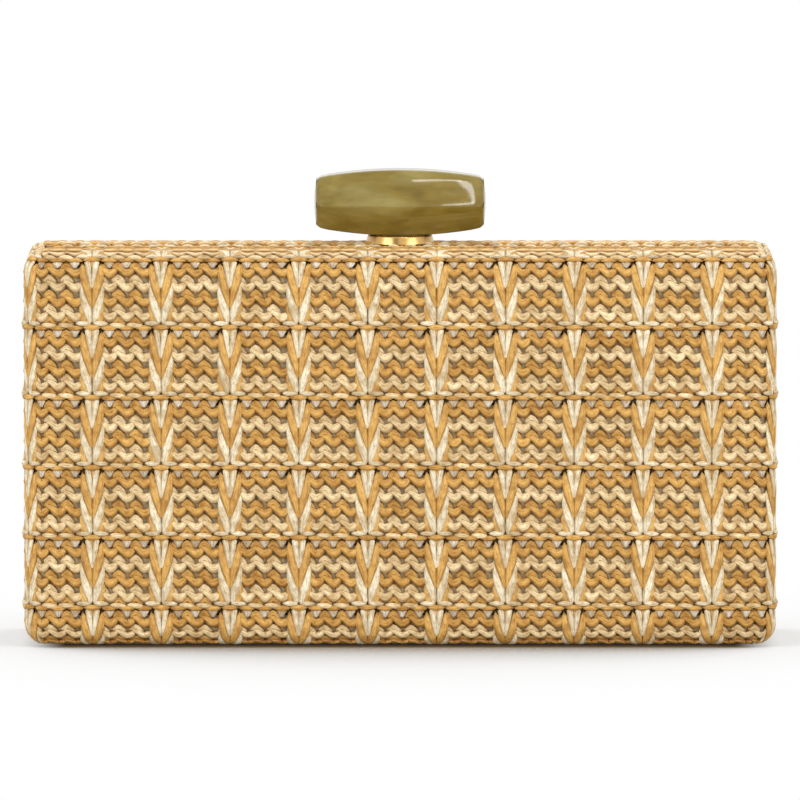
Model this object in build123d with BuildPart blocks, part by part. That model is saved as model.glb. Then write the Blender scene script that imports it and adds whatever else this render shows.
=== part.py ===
from build123d import *
from math import cos, floor, hypot, radians, tan
import os

# A woven straw box clutch: two rigid half shells under knitted raffia, hinged along the bottom,
# closed at the top by a barrel-shaped knob that turns a latch cam.
# Millimetres, +Z up, the front faces -Y, the origin is the middle of the base.

# Case, measured over the raised ribs of the weave
case_width = 190.0
case_depth = 50.0
case_height = 100.0
edge_radius = 6.0

# Layers of each half, from the outside in
rib_relief = 0.8
weave_ground = 1.4
shell_wall = 2.0
shell_bevel = 2.4
lining_thickness = 0.8

# Weave: plaited ribs run over the case, twisted cords run round it, knitted rows fill between
rib_pitch = 17.4
rib_width = 6.2
cord_pitch = 17.66
cord_width = 2.5
first_cord_height = 10.1
wall_cord_inset = 5.0
front_knit_rows = 3
knit_row_height = 0.55
plaits = 2
plait_rise = 6.0
plait_step = 0.45

# Metal rim frames at the mouths of the two halves
parting_gap = 0.3
frame_recess = 1.0
flange_depth = 6.0

# Barrel hinge along the bottom of the rim frames
lid_swing = 100.0
hinge_length = 126.0
knuckle_count = 3
knuckle_radius = 1.45
barrel_clearance = 0.2
knuckle_gap = 0.3
braze_film = 0.02
swing_clearance = 0.3
pin_radius = 0.7
pin_clearance = 0.05

# Clasp on the top wall of the back half
rosette_radius = 8.7
rosette_thickness = 1.7
rosette_edge = 0.5
collar_radius = 4.0
collar_clearance = 0.15
collar_drop = 2.4
stem_radius = 2.0
stem_clearance = 0.05
stem_reach = 7.6
nut_wall = 1.95
nut_height = 2.0
nut_clearance = 0.05
knob_length = 43.5
knob_height = 16.4
knob_end_height = 12.6
knob_ridge_drop = 0.7
knob_end_dome = 0.7
knob_gap = 0.2

# Turn latch under the clasp
cam_gap = 0.1
cam_thickness = 1.4
cam_hub_wall = 2.2
cam_rim = 1.4
cam_half_angle = 18.0
latch_gap = 0.3
keeper_setback = 1.0
keeper_lip = 1.2
keeper_lip_half_angle = 20.0
keeper_width = 14.0
keeper_thickness = 1.0
keeper_margin = 0.3

os.makedirs("parts", exist_ok=True)

# Depths of the layers below the raised ribs
shell_inset = rib_relief + weave_ground
hollow_inset = shell_inset + shell_wall
lining_inset = hollow_inset + lining_thickness
mouth = knuckle_radius + barrel_clearance
flange_end = mouth + flange_depth
inner_ceiling = case_height - lining_inset

# The clasp stands in the middle of the flat top wall of the back half
clasp_offset = (mouth + case_depth / 2 - edge_radius) / 2

# The hinge axis lies level with the outside of the shell's base
hinge_axis_height = shell_inset
base_channel = hinge_axis_height / tan(radians((180 - lid_swing) / 2)) + swing_clearance


def write(part, name):
    """Labels a finished piece and writes it as one STEP file."""
    part.label = name
    export_step(part, f"parts/{name}.step")


def block(inset):
    """The whole closed case with sharp edges, drawn in by an inset on every side."""
    with BuildPart() as solid:
        with Locations((0, 0, case_height / 2)):
            Box(case_width - 2 * inset, case_depth - 2 * inset, case_height - 2 * inset)
    return solid.part


def half_space(face):
    """Everything in front of the plane Y = -face."""
    reach = case_depth
    with BuildPart() as space:
        with Locations((0, -face - reach / 2, case_height / 2)):
            Box(2 * case_width, reach, 2 * case_height)
    return space.part


with BuildPart() as case_block:
    add(block(0))
    fillet(case_block.edges(), edge_radius)

with BuildPart() as shell_block:
    add(block(shell_inset))
    chamfer(shell_block.edges(), shell_bevel)

hollow_block = block(hollow_inset)
lining_block = block(lining_inset)
front_space = half_space(mouth)
lined_space = half_space(flange_end)

# Places of the ribs and cords on the woven cover
flat_width = case_width - 2 * edge_radius
flat_top = case_height - edge_radius
rib_count = 2 * floor(flat_width / 2 / rib_pitch + 0.5)
cord_count = floor((flat_top - first_cord_height) / cord_pitch) + 1
cord_heights = [first_cord_height + cord_pitch * i for i in range(cord_count)]
cord_gap = cord_pitch - cord_width
face = -case_depth / 2
knit_floor = face + rib_relief


def sunk_bands(rows):
    """Sunk panels between the ribs and cords of the front, with knitted rows as ridges on their floor."""
    with BuildPart() as bands:
        with BuildSketch(Plane.YZ):
            for height in cord_heights:
                foot = height + cord_width / 2
                head = min(foot + cord_gap, flat_top)
                band = [(face - rib_relief, foot), (knit_floor, foot)]
                for row in range(rows):
                    row_pitch = (head - foot) / rows
                    band.append((knit_floor - knit_row_height, foot + (row + 0.5) * row_pitch))
                    band.append((knit_floor, foot + (row + 1) * row_pitch))
                if rows == 0:
                    band.append((knit_floor, head))
                with BuildLine():
                    Polyline(*band, (face - rib_relief, head), close=True)
                make_face()
        extrude(amount=flat_width / 2, both=True)
        with Locations((0, face, case_height / 2)):
            with GridLocations(rib_pitch, 0, rib_count, 1):
                Box(rib_width, case_depth, 2 * case_height, mode=Mode.SUBTRACT)
    return bands.part


# Overlapping ribbons of one plaited rib: each steps down under the one above and slants to a point
plait_pitch = (cord_gap - plait_rise) / plaits
half_rib = rib_width / 2
with BuildPart() as half_plait:
    with BuildSketch(Plane.YZ.offset(-half_rib)):
        for height in cord_heights:
            head = height + cord_pitch - cord_width / 2
            for plait in range(plaits):
                top = head - plait * plait_pitch
                if top <= flat_top:
                    Polygon((face, top), (face + plait_step, top), (face, top - plait_pitch), align=None)
    extrude(amount=hypot(half_rib, plait_rise), dir=(half_rib, 0, -plait_rise))
with BuildPart() as plait_cuts:
    add(half_plait.part)
    mirror(half_plait.part, about=Plane.YZ)

# Sunk panels on the top wall, between the ribs
wall_panel_depth = case_depth / 2 - edge_radius - wall_cord_inset
with BuildPart() as wall_panels:
    with Locations((0, -wall_cord_inset, case_height)):
        panel_align = (Align.CENTER, Align.MAX, Align.CENTER)
        Box(flat_width, wall_panel_depth, 2 * rib_relief, align=panel_align)
    with GridLocations(rib_pitch, 0, rib_count, 1):
        Box(rib_width, 2 * case_depth, 4 * case_height, mode=Mode.SUBTRACT)

# Plain woven cover of one half, open at the mouth and over the hinge
with BuildPart() as cover:
    add(case_block.part)
    add(front_space, mode=Mode.INTERSECT)
    add(shell_block.part, mode=Mode.SUBTRACT)
    add(wall_panels.part, mode=Mode.SUBTRACT)
    Box(2 * case_width, 2 * base_channel, 2 * shell_inset, mode=Mode.SUBTRACT)

front_bands = sunk_bands(front_knit_rows)
with BuildPart() as front_weave:
    add(cover.part)
    add(front_bands, mode=Mode.SUBTRACT)
    with GridLocations(rib_pitch, 0, rib_count, 1):
        add(plait_cuts.part, mode=Mode.SUBTRACT)
write(front_weave.part, "front_weave")

# The back cover has the same ribs and cords, with plain panels
back_bands = sunk_bands(0)
with BuildPart() as plain_cover:
    add(cover.part)
    add(back_bands, mode=Mode.SUBTRACT)

collar_hole_radius = collar_radius + collar_clearance
with BuildPart() as back_weave:
    mirror(plain_cover.part, about=Plane.XZ)
    with Locations((0, clasp_offset, case_height)):
        Cylinder(collar_hole_radius, 2 * edge_radius, mode=Mode.SUBTRACT)
write(back_weave.part, "back_weave")

# Rigid half shells
with BuildPart() as front_shell:
    add(shell_block.part)
    add(hollow_block, mode=Mode.SUBTRACT)
    add(front_space, mode=Mode.INTERSECT)
write(front_shell.part, "front_shell")

with BuildPart() as back_shell:
    mirror(front_shell.part, about=Plane.XZ)
    with Locations((0, clasp_offset, case_height)):
        Cylinder(collar_hole_radius, 4 * edge_radius, mode=Mode.SUBTRACT)
write(back_shell.part, "back_shell")

# Fabric-covered linings, which end at the flanges of the rim frames
with BuildPart() as front_lining:
    add(hollow_block)
    add(lining_block, mode=Mode.SUBTRACT)
    add(lined_space, mode=Mode.INTERSECT)
write(front_lining.part, "front_lining")

with BuildPart() as back_lining:
    mirror(front_lining.part, about=Plane.XZ)
    with Locations((0, clasp_offset, case_height)):
        Cylinder(collar_hole_radius, 4 * edge_radius, mode=Mode.SUBTRACT)
write(back_lining.part, "back_lining")

# Hinge knuckles: the odd ones belong to the back half, the even ones to the front
knuckle_pitch = hinge_length / knuckle_count
knuckle_length = knuckle_pitch - knuckle_gap
knuckle_places = [(i - (knuckle_count - 1) / 2) * knuckle_pitch for i in range(knuckle_count)]
back_knuckle_places = knuckle_places[0::2]
front_knuckle_places = knuckle_places[1::2]
along_x = (0, 90, 0)


def knuckle_set(places):
    """Tubes of the hinge barrel at the given places, bored for the pin."""
    with BuildPart() as knuckles:
        with Locations(*[(x, 0, hinge_axis_height) for x in places]):
            Cylinder(knuckle_radius, knuckle_length, rotation=along_x)
        with Locations((0, 0, hinge_axis_height)):
            bore = pin_radius + pin_clearance
            Cylinder(bore, 2 * hinge_length, rotation=along_x, mode=Mode.SUBTRACT)
    return knuckles.part


write(knuckle_set(back_knuckle_places), "back_knuckles")
write(knuckle_set(front_knuckle_places), "front_knuckles")

with BuildPart() as hinge_pin:
    with Locations((0, 0, hinge_axis_height)):
        Cylinder(pin_radius, hinge_length, rotation=along_x)
write(hinge_pin.part, "hinge_pin")


def rim_frame(own_places, other_places):
    """Rim frame at the mouth of the front half, seated on its own knuckles and clear of the others."""
    outer_width = case_width - 2 * frame_recess
    outer_height = case_height - 2 * frame_recess
    hollow_width = case_width - 2 * hollow_inset
    hollow_height = case_height - 2 * hollow_inset
    mouth_width = case_width - 2 * lining_inset
    mouth_height = case_height - 2 * lining_inset
    with BuildPart() as frame:
        with BuildSketch(Plane.XZ.offset(parting_gap / 2)):
            with Locations((0, case_height / 2)):
                RectangleRounded(outer_width, outer_height, edge_radius - frame_recess)
                Rectangle(mouth_width, mouth_height, mode=Mode.SUBTRACT)
        extrude(amount=mouth - parting_gap / 2)
        with BuildSketch(Plane.XZ.offset(mouth)):
            with Locations((0, case_height / 2)):
                Rectangle(hollow_width, hollow_height)
                Rectangle(mouth_width, mouth_height, mode=Mode.SUBTRACT)
        extrude(amount=flange_depth)
        with Locations((0, 0, hinge_axis_height)):
            floor_cut = (Align.CENTER, Align.CENTER, Align.MAX)
            Box(2 * case_width, 2 * case_depth, case_height, align=floor_cut, mode=Mode.SUBTRACT)
        with Locations(*[(x, 0, hinge_axis_height) for x in own_places]):
            seat = knuckle_radius + braze_film
            Cylinder(seat, knuckle_pitch, rotation=along_x, mode=Mode.SUBTRACT)
        with Locations(*[(x, 0, hinge_axis_height) for x in other_places]):
            clear = knuckle_radius + swing_clearance
            Cylinder(clear, knuckle_pitch, rotation=along_x, mode=Mode.SUBTRACT)
    return frame.part


front_frame = rim_frame(front_knuckle_places, back_knuckle_places)
write(front_frame, "front_frame")

mirrored_back = rim_frame(back_knuckle_places, front_knuckle_places)
with BuildPart() as back_frame:
    mirror(mirrored_back, about=Plane.XZ)
    with Locations((0, clasp_offset, inner_ceiling)):
        Cylinder(collar_hole_radius, 4 * shell_wall, mode=Mode.SUBTRACT)
write(back_frame.part, "back_frame")

# Stack of the clasp, from the rosette down to the cam
collar_foot = inner_ceiling - collar_drop
cam_top = collar_foot - cam_gap
cam_foot = cam_top - cam_thickness
rosette_top = case_height + rosette_thickness
knob_foot = rosette_top + knob_gap
stem_top = knob_foot + stem_reach

with BuildPart() as clasp_rosette:
    with Locations((0, clasp_offset, case_height + rosette_thickness / 2)):
        Cylinder(rosette_radius, rosette_thickness)
    chamfer(clasp_rosette.edges().sort_by(Axis.Z)[-1], rosette_edge)
    collar_length = case_height - collar_foot
    with Locations((0, clasp_offset, case_height)):
        Cylinder(collar_radius, collar_length, align=(Align.CENTER, Align.CENTER, Align.MAX))
    with Locations((0, clasp_offset, case_height)):
        Cylinder(stem_radius + stem_clearance, 2 * case_height, mode=Mode.SUBTRACT)
write(clasp_rosette.part, "clasp_rosette")

with BuildPart() as clasp_nut:
    with BuildSketch(Plane.XY.offset(inner_ceiling)):
        with Locations((0, clasp_offset)):
            RegularPolygon(collar_radius + nut_clearance + nut_wall, 6, major_radius=False)
            Circle(collar_radius + nut_clearance, mode=Mode.SUBTRACT)
    extrude(amount=-nut_height)
write(clasp_nut.part, "clasp_nut")

# Knob: three bulged slabs crossed to make a barrel with six long facets, its side ridges set low
knob_middle = knob_foot + knob_height / 2
with BuildPart() as clasp_knob:
    for turn in (0, 60, 120):
        facet_plane = Plane.XZ.rotated((turn, 0, 0))
        drop = 0 if turn == 0 else knob_ridge_drop
        facet_plane.origin = (0, clasp_offset, knob_middle - drop)
        with BuildSketch(facet_plane):
            with BuildLine():
                half_length = knob_length / 2 - knob_end_dome
                crown = knob_height / 2
                end = knob_end_height / 2
                ThreePointArc((-half_length, end), (0, crown), (half_length, end))
                ThreePointArc((half_length, end), (knob_length / 2, 0), (half_length, -end))
                ThreePointArc((half_length, -end), (0, -crown), (-half_length, -end))
                ThreePointArc((-half_length, -end), (-knob_length / 2, 0), (-half_length, end))
            make_face()
        crossing = Mode.ADD if turn == 0 else Mode.INTERSECT
        extrude(amount=knob_height, both=True, mode=crossing)
    with Locations((0, clasp_offset, knob_foot - knob_gap)):
        bore_align = (Align.CENTER, Align.CENTER, Align.MIN)
        bore_depth = stem_reach + 2 * knob_gap
        Cylinder(stem_radius + stem_clearance, bore_depth, align=bore_align, mode=Mode.SUBTRACT)
write(clasp_knob.part, "clasp_knob")

# Stem: round in the collar and the knob, with two flats at its foot, which is riveted over in the cam
flat_offset = stem_radius * cos(radians(45))
with BuildPart() as clasp_stem:
    with Locations((0, clasp_offset, cam_foot)):
        stem_align = (Align.CENTER, Align.CENTER, Align.MIN)
        Cylinder(stem_radius, stem_top - cam_foot, align=stem_align)
    for side in (-1, 1):
        with Locations((0, clasp_offset + side * (flat_offset + stem_radius / 2), cam_foot)):
            Box(4 * stem_radius, stem_radius, cam_thickness, align=stem_align, mode=Mode.SUBTRACT)
write(clasp_stem.part, "clasp_stem")


def sector(inner, outer, half_angle, low, high):
    """A ring sector about the clasp axis, facing the front, between two heights."""
    with BuildPart() as ring:
        with BuildSketch(Plane.XY.offset(low)):
            with Locations((0, clasp_offset)):
                Circle(outer)
                Circle(inner, mode=Mode.SUBTRACT)
                spread = 2 * outer * tan(radians(half_angle))
                Polygon((0, 0), (spread, -2 * outer), (-spread, -2 * outer), align=None, mode=Mode.INTERSECT)
        extrude(amount=high - low)
    return ring.part


keeper_lip_start = clasp_offset + parting_gap / 2 + keeper_setback
keeper_lip_end = keeper_lip_start + keeper_lip
cam_rim_start = keeper_lip_end + latch_gap
cam_reach = cam_rim_start + cam_rim
cam_arm = sector(stem_radius, cam_reach, cam_half_angle, cam_foot, cam_top)
keeper_foot = inner_ceiling - keeper_thickness
cam_rim_top = keeper_foot - latch_gap
cam_lip = sector(cam_rim_start, cam_reach, cam_half_angle, cam_foot, cam_rim_top)
with BuildPart() as latch_cam:
    with Locations((0, clasp_offset, cam_foot)):
        Cylinder(stem_radius + cam_hub_wall, cam_thickness, align=(Align.CENTER, Align.CENTER, Align.MIN))
    add(cam_arm)
    add(cam_lip)
    with BuildSketch(Plane.XY.offset(cam_foot)):
        with Locations((0, clasp_offset)):
            Circle(stem_radius + stem_clearance)
            flat_gap = 2 * (flat_offset + stem_clearance)
            Rectangle(4 * stem_radius, flat_gap, mode=Mode.INTERSECT)
    extrude(amount=cam_thickness, mode=Mode.SUBTRACT)
write(latch_cam.part, "latch_cam")

# Keeper of the latch, brazed under the flange of the front frame
keeper_hook = sector(
    keeper_lip_start, keeper_lip_end, keeper_lip_half_angle, cam_top + latch_gap, keeper_foot
)
with BuildPart() as latch_keeper:
    plate_front = parting_gap / 2 + keeper_margin
    plate_depth = flange_end - keeper_margin - plate_front
    with Locations((0, -plate_front, keeper_foot)):
        Box(keeper_width, plate_depth, keeper_thickness, align=(Align.CENTER, Align.MAX, Align.MIN))
    add(keeper_hook)
write(latch_keeper.part, "latch_keeper")
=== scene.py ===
from math import atan2, ceil, copysign, cos, floor, isclose, pi, radians, sin, sqrt, tan
from random import Random

import bmesh
import bpy
import numpy as np
from bpy.props import FloatProperty, FloatVectorProperty, IntProperty, PointerProperty
from mathutils import Matrix, Vector


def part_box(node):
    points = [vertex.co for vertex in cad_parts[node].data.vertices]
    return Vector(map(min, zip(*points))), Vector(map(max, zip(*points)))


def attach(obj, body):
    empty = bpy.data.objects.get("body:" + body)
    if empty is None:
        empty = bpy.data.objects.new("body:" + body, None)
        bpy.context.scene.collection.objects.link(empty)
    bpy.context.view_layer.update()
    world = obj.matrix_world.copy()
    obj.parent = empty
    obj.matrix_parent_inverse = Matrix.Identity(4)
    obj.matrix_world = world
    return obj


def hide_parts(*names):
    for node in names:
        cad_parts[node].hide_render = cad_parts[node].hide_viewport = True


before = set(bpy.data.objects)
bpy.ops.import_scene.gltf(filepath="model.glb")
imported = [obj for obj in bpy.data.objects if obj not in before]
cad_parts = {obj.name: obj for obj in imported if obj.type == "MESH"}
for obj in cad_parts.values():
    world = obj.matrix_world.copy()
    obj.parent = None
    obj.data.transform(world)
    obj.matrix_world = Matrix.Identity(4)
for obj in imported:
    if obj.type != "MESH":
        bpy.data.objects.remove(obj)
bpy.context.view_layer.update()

bl_info = {
    "name": "Woven Box Clutch",
    "version": (1, 0, 0),
    "blender": (4, 5, 0),
    "location": "View3D > Sidebar > Clutch",
    "description": "Dresses the hinged case of a raffia box clutch and sets its studio",
    "category": "Add Mesh",
}

FRONT_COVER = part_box("front_weave")
KNOB_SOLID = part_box("clasp_knob")
NUT_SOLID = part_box("clasp_nut")
DISC_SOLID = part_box("clasp_rosette")

# Values of the dye attribute, each in its own step of the raffia's colour ramp; SHADE marks the strips of
# painted shade under the cords
SHADE, HONEY, GREY, OAT, CREAM = 0.1, 0.3, 0.5, 0.7, 0.9
BODIES = {"front": "front_half", "back": "back_half"}
WHITE = (1.0, 1.0, 1.0)
# Points that are closer than this are one point
SAME_POINT = 1e-6
# How far the rows and cords of the top and the base reach past the flat part of the case
OVERHANG = 0.0016


# Sizes and colours

class ClutchCase(bpy.types.PropertyGroup):
    """Shape of the rigid case under the weave"""
    half_width: FloatProperty(name="Half width", description="Middle to the side of the case",
                              default=FRONT_COVER[1][0], unit="LENGTH", precision=5)
    half_depth: FloatProperty(name="Half depth", description="Parting plane to the front of the case",
                              default=-FRONT_COVER[0][1], unit="LENGTH", precision=5)
    height: FloatProperty(name="Height", description="Base to the top of the weave",
                          default=FRONT_COVER[1][2], unit="LENGTH", precision=5)
    edge_radius: FloatProperty(name="Edge radius", description="Rounding of the outer edges",
                               default=0.006, unit="LENGTH", precision=5)
    mouth: FloatProperty(name="Mouth", description="Parting plane to the edge of the cloth",
                         default=-FRONT_COVER[1][1], unit="LENGTH", precision=5)
    hinge_channel: FloatProperty(name="Hinge channel", description="Half width kept clear of cloth below",
                                 default=0.00300, unit="LENGTH", precision=5)


class ClutchWeave(bpy.types.PropertyGroup):
    """Spacing and dyes of the raffia"""
    rib_pitch: FloatProperty(name="Rib pitch", description="Between the plaited ribs",
                             default=0.01729, unit="LENGTH", precision=5)
    rib_shift: FloatProperty(name="Rib shift", description="Middle of the case to the middle of the ribs",
                             default=0.0005, unit="LENGTH", precision=5)
    cord_pitch: FloatProperty(name="Cord pitch", description="Between the twisted cords",
                              default=0.01766, unit="LENGTH", precision=5)
    first_cord: FloatProperty(name="First cord", description="Height of the lowest cord on the front",
                              default=0.01055, unit="LENGTH", precision=5)
    stitches: IntProperty(name="Stitches", description="Knitted stitches from rib to rib", default=4)
    first_row: FloatProperty(name="First row", description="Cord to the first knitted row under it",
                             default=0.00347, unit="LENGTH", precision=5)
    row_pitch: FloatProperty(name="Row pitch", description="Between the knitted rows",
                             default=0.00371, unit="LENGTH", precision=5)
    seed: IntProperty(name="Seed", description="Start of the small unevenness of the hand work", default=7)
    honey: FloatVectorProperty(name="Honey", description="Honey dye of the raffia", size=3,
                               subtype="COLOR", default=(0.73, 0.440, 0.130))
    grey: FloatVectorProperty(name="Grey", description="Undyed grey raffia", size=3,
                              subtype="COLOR", default=(0.74, 0.68, 0.58))
    oat: FloatVectorProperty(name="Oat", description="Pale raffia of the knitted rows", size=3,
                             subtype="COLOR", default=(0.92, 0.755, 0.470))
    cream: FloatVectorProperty(name="Cream", description="Bleached raffia", size=3,
                               subtype="COLOR", default=(0.880, 0.800, 0.605))
    # Colour of the strips of painted shade under the cords
    shade: FloatVectorProperty(name="Shade", description="Dark bed of the cords", size=3,
                               subtype="COLOR", default=(0.085, 0.045, 0.016))
    ground: FloatVectorProperty(name="Ground", description="Cloth seen between the stitches", size=3,
                                subtype="COLOR", default=(0.52, 0.38, 0.20))


class ClutchFinish(bpy.types.PropertyGroup):
    """Colours of the fittings"""
    resin: FloatVectorProperty(name="Resin", description="Olive body of the knob", size=3,
                               subtype="COLOR", default=(0.23, 0.165, 0.030))
    resin_cloud: FloatVectorProperty(name="Resin clouds", description="Pale clouds in the resin", size=3,
                                     subtype="COLOR", default=(0.295, 0.235, 0.070))
    resin_deep: FloatVectorProperty(name="Deep resin", description="Dark drifts in the resin", size=3,
                                    subtype="COLOR", default=(0.145, 0.095, 0.012))
    gold: FloatVectorProperty(name="Gold", description="Polished gold of the disc", size=3,
                              subtype="COLOR", default=(0.66, 0.41, 0.145))
    brass: FloatVectorProperty(name="Brass", description="Brass of the frames and the latch", size=3,
                               subtype="COLOR", default=(0.72, 0.53, 0.25))
    lining: FloatVectorProperty(name="Lining", description="Cloth of the lining", size=3,
                                subtype="COLOR", default=(0.62, 0.50, 0.33))
    wood: FloatVectorProperty(name="Shell", description="Wood of the rigid shells", size=3,
                              subtype="COLOR", default=(0.42, 0.26, 0.13))


class ClutchStage(bpy.types.PropertyGroup):
    """Camera and studio"""
    distance: FloatProperty(name="Distance", description="Camera to the front of the case",
                            default=3.00, unit="LENGTH")
    camera_height: FloatProperty(name="Camera height", description="Camera above the floor",
                                 default=0.310, unit="LENGTH")
    aim_height: FloatProperty(name="Aim height", description="Height of the aim on the front face",
                              default=0.0625, unit="LENGTH", precision=5)
    frame_width: FloatProperty(name="Frame width", description="Width of the picture at the front",
                               default=0.2008, unit="LENGTH", precision=5)
    floor: FloatVectorProperty(name="Floor", description="Colour of the floor", size=3,
                               subtype="COLOR", default=(0.56, 0.56, 0.56))


class ClutchSettings(bpy.types.PropertyGroup):
    """All settings of the clutch"""
    case: PointerProperty(type=ClutchCase)
    weave: PointerProperty(type=ClutchWeave)
    finish: PointerProperty(type=ClutchFinish)
    stage: PointerProperty(type=ClutchStage)


# Node helpers

def new_material(name, constants):
    """A new material: its shader, with the sockets that are the same all over, linked to its output."""
    material = bpy.data.materials.new(name)
    material.use_nodes = True
    tree = material.node_tree
    tree.nodes.clear()
    shader = tree.nodes.new("ShaderNodeBsdfPrincipled")
    output = tree.nodes.new("ShaderNodeOutputMaterial")
    tree.links.new(shader.outputs["BSDF"], output.inputs["Surface"])
    for socket, value in constants.items():
        shader.inputs[socket].default_value = value
    return material, tree, shader


def add_node(tree, kind, links=None, **values):
    """Adds a node, sets its sockets and attributes by name and links its inputs."""
    node = tree.nodes.new("ShaderNode" + kind)
    for key, value in values.items():
        if key in node.inputs:
            node.inputs[key].default_value = value
        else:
            setattr(node, key, value)
    for key, source in (links or {}).items():
        tree.links.new(source, node.inputs[key])
    return node


def feed(tree, socket, value):
    """Gives a socket a link or a number."""
    if isinstance(value, bpy.types.NodeSocket):
        tree.links.new(value, socket)
    else:
        socket.default_value = value


def maths(tree, operation, *operands):
    """A sum on sockets and numbers."""
    node = add_node(tree, "Math", operation=operation)
    for socket, operand in zip(node.inputs, operands):
        feed(tree, socket, operand)
    return node.outputs[0]


def ramp(tree, source, stops, interpolation="LINEAR"):
    """A colour ramp through (place, colour) stops."""
    node = add_node(tree, "ValToRGB", {"Fac": source})
    node.color_ramp.interpolation = interpolation
    elements = node.color_ramp.elements
    while len(elements) < len(stops):
        elements.new(0.5)
    for element, (place, colour) in zip(elements, stops):
        element.position = place
        element.color = (*colour, 1.0)
    return node.outputs["Color"]


def grey_stops(*stops):
    """Ramp stops in plain greys."""
    return [(place, (value, value, value)) for place, value in stops]


def mix_colour(tree, mode, factor, first, second):
    """Mixes two colours by a factor that is a socket or a number."""
    node = add_node(tree, "Mix", data_type="RGBA", blend_type=mode)
    # The Mix node has sockets for every kind of data, and these are the ones for colours
    for index, value in ((0, factor), (6, first), (7, second)):
        feed(tree, node.inputs[index], value)
    return node.outputs[2]


def object_place(tree):
    """The place on the object, in metres."""
    return add_node(tree, "TexCoord").outputs["Object"]


def stretched(tree, place, scale, turn=(0.0, 0.0, 0.0)):
    """A place with its axes scaled and turned."""
    return add_node(tree, "Mapping", {"Vector": place}, Scale=scale, Rotation=turn).outputs["Vector"]


def noise(tree, place, **values):
    """Soft noise over a place."""
    return add_node(tree, "TexNoise", {"Vector": place}, **values).outputs["Fac"]


def relief(tree, height, strength, distance, under=None):
    """The normals that a height gives, on top of earlier ones if there are any."""
    links = {"Height": height}
    if under is not None:
        links["Normal"] = under
    return add_node(tree, "Bump", links, Strength=strength, Distance=distance).outputs["Normal"]


def dress(tree, shader, sources):
    """Links sources to the shader's sockets by name."""
    for socket, source in sources.items():
        tree.links.new(source, shader.inputs[socket])


def seen_or_mirrored(tree):
    """1 for rays from the camera, from polished surfaces and through clear ones, 0 for other rays."""
    path = add_node(tree, "LightPath").outputs
    seen = maths(tree, "MAXIMUM", path["Is Camera Ray"], path["Is Glossy Ray"])
    return maths(tree, "MAXIMUM", seen, path["Is Transmission Ray"])


def dark(colour, share):
    """The colour at a share of its brightness."""
    return tuple(channel * share for channel in colour)


# Finishes

def raffia_material(name, weave):
    """Dyed raffia: fibres along the strand, uneven dye, soft gloss, and painted shade in the grooves between
    the plies and along the edges of each strand.
    """
    material, tree, shader = new_material(name, {"Specular IOR Level": 0.25})
    dye, tone, painted_edge_shade = [add_node(tree, "Attribute", attribute_name=attribute).outputs["Fac"]
                         for attribute in ("dye", "tone", "painted_edge_shade")]
    uv = add_node(tree, "UVMap", uv_map="strand").outputs["UV"]
    axes = add_node(tree, "SeparateXYZ", {"Vector": uv}).outputs
    fibre = noise(tree, stretched(tree, uv, (0.35, 7.0, 1.0)), Scale=2.0, Detail=3.0, Roughness=0.6)
    patch = noise(tree, object_place(tree), Scale=420.0, Detail=2.0)

    # The plies run along the strand, turn slowly round it and wander from patch to patch
    plies, twist_rate, wander_turn = 6, 0.5, 6.0
    twist = maths(tree, "MULTIPLY", axes["X"], twist_rate)
    wander = maths(tree, "MULTIPLY_ADD", patch, wander_turn, twist)
    turns = maths(tree, "MULTIPLY_ADD", axes["Y"], 2 * pi * plies, wander)
    wave = maths(tree, "SINE", turns)
    lift = add_node(tree, "MapRange", {"Value": wave}, **{"From Min": -1.0}).outputs["Result"]

    base = ramp(tree, dye, [(0.0, weave.shade), (0.2, weave.honey), (0.4, weave.grey), (0.6, weave.oat),
                            (0.8, weave.cream)], "CONSTANT")
    streak = ramp(tree, fibre, [(0.34, (0.64, 0.54, 0.40)), (0.50, WHITE), (0.75, (1.10, 1.10, 1.12))])
    # Painted shade in the grooves between the plies
    painted_ply_shade = ramp(tree, lift, [(0.0, (0.58, 0.45, 0.29)), (0.26, WHITE)])
    # Painted shade along both edges of every strand, darker and wider on the lower edge, as if lit from above
    edges = ramp(tree, axes["Y"], [(0.31, (0.50, 0.34, 0.16)), (0.385, WHITE), (0.57, WHITE),
                                   (0.69, (0.34, 0.21, 0.085))])
    uneven = ramp(tree, patch, [(0.32, (0.72, 0.60, 0.43)), (0.60, (1.08, 1.08, 1.07))])
    # Strand tone differs at random, and on the arches it is also lowered as painted shade
    strand = ramp(tree, tone, [(0.0, (0.76, 0.69, 0.58)), (1.0, (1.12, 1.12, 1.12))])
    colour = base
    for factor, shade in ((0.8, streak), (0.4, painted_ply_shade), (painted_edge_shade, edges), (0.8, uneven), (0.8, strand)):
        colour = mix_colour(tree, "MULTIPLY", factor, colour, shade)
    ply_relief = relief(tree, lift, 0.35, 0.00018)
    dress(tree, shader, {
        "Base Color": colour,
        "Roughness": ramp(tree, fibre, grey_stops((0.3, 0.62), (0.7, 0.46))),
        "Normal": relief(tree, fibre, 0.5, 0.00025, ply_relief),
    })
    return material


def ground_material(name, weave):
    """The cloth behind the stitches: coarse, dull and shaded."""
    material, tree, shader = new_material(name, {"Roughness": 0.9})
    coarse = noise(tree, object_place(tree), Scale=900.0, Detail=3.0)
    dress(tree, shader, {
        "Base Color": ramp(tree, coarse, [(0.35, dark(weave.ground, 0.6)), (0.65, weave.ground)]),
        "Normal": relief(tree, coarse, 0.5, 0.0003),
    })
    return material


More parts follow.
